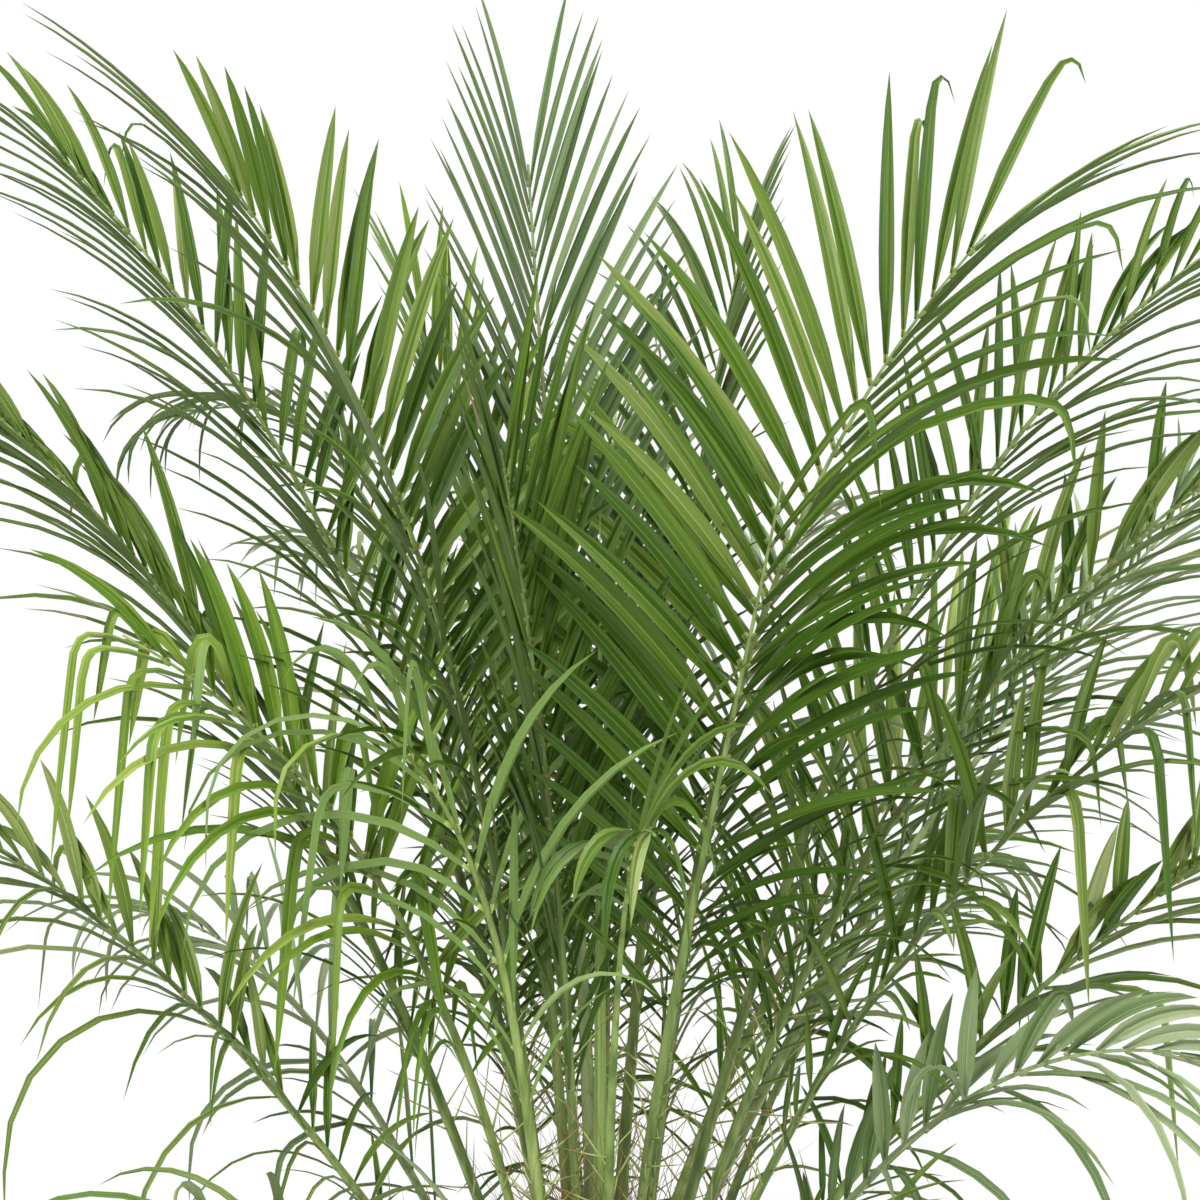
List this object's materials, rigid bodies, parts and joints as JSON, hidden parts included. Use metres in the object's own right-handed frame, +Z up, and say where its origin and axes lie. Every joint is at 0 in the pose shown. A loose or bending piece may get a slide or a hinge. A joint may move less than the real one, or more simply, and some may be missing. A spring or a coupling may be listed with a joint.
{
  "type": "pygmy date palm",
  "caption": "Feather-leaved palm with a short scarred stem and a full crown of long arching fronds, cut flat at ground level.",
  "frame": {"origin": "middle of the flat cut under the trunk, at ground level", "axes": "+Z up along the trunk, +X to the right and -Y towards the viewer in the view that shows the plant best"},
  "size_m": [1.6231, 1.5207, 1.6417],
  "materials": {
    "bark": "rough, fibrous, scarred",
    "leaf_full": "satin, slightly waxy",
    "leaf_young": "satin, slightly waxy",
    "leaf_old": "satin, dusty"
  },
  "bodies": {
    "root": {"trunk": "bark", "spear_leaf": "leaf_young", "frond_back_upright": "leaf_old", "frond_front_upright": "leaf_full", "frond_back_right_upright": "leaf_full", "frond_front_left_inner": "leaf_full", "frond_back_left_upright": "leaf_young", "frond_right_tall": "leaf_full", "frond_left_tall": "leaf_full", "frond_front_arching": "leaf_full", "frond_back_left_tall": "leaf_full", "frond_back_right_young": "leaf_young", "frond_back_tall": "leaf_full", "frond_right_back_tall": "leaf_full", "frond_back_left_drooping": "leaf_full", "frond_front_left_drooping": "leaf_young", "frond_right_back_long": "leaf_old", "frond_left_back_long": "leaf_full", "frond_right_long": "leaf_full", "frond_front_left_arching": "leaf_young", "frond_front_right_upright": "leaf_full", "frond_right_front": "leaf_full", "frond_back_right_middle": "leaf_old", "frond_back_left_middle": "leaf_full", "frond_front_right_arching": "leaf_full", "frond_left_low": "leaf_full", "frond_right_low": "leaf_full", "frond_back_low": "leaf_full", "frond_right_front_low": "leaf_old", "frond_back_left_low": "leaf_old", "frond_back_right_low": "leaf_full", "frond_front_left_low": "leaf_full", "frond_front_low": "leaf_old", "frond_front_right_low": "leaf_full"}
  },
  "joints": []
}
